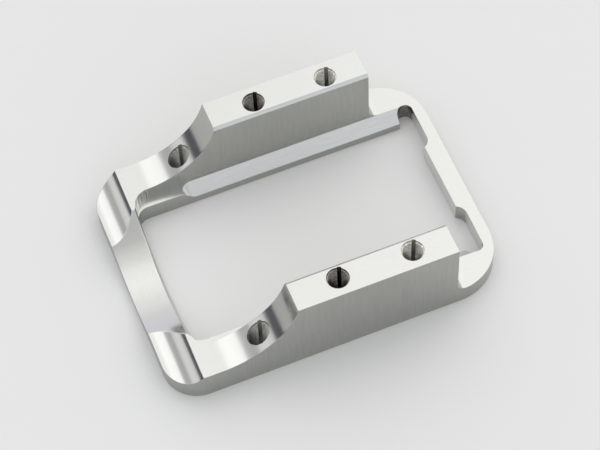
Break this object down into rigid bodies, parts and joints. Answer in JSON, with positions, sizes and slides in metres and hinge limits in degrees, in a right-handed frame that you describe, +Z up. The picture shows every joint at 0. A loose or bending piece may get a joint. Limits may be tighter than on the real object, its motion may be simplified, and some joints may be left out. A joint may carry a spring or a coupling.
{
  "type": "engine mount",
  "caption": "Machined aluminium engine mount: a rectangular frame with two raised drilled bearers, hollow-curved ends and a round saddle in its nose bar.",
  "frame": {"origin": "centre of the underside's bounding rectangle", "axes": "+X along the bearers from the low nose to the flat tail, +Y across them, +Z up through the engine screw holes"},
  "size_m": [0.0642, 0.0468, 0.0175],
  "materials": {
    "bare_aluminium": "bare machined, fine satin on the flats and brighter on the milled curves"
  },
  "bodies": {
    "root": {"engine_mount": "bare_aluminium"}
  },
  "joints": []
}
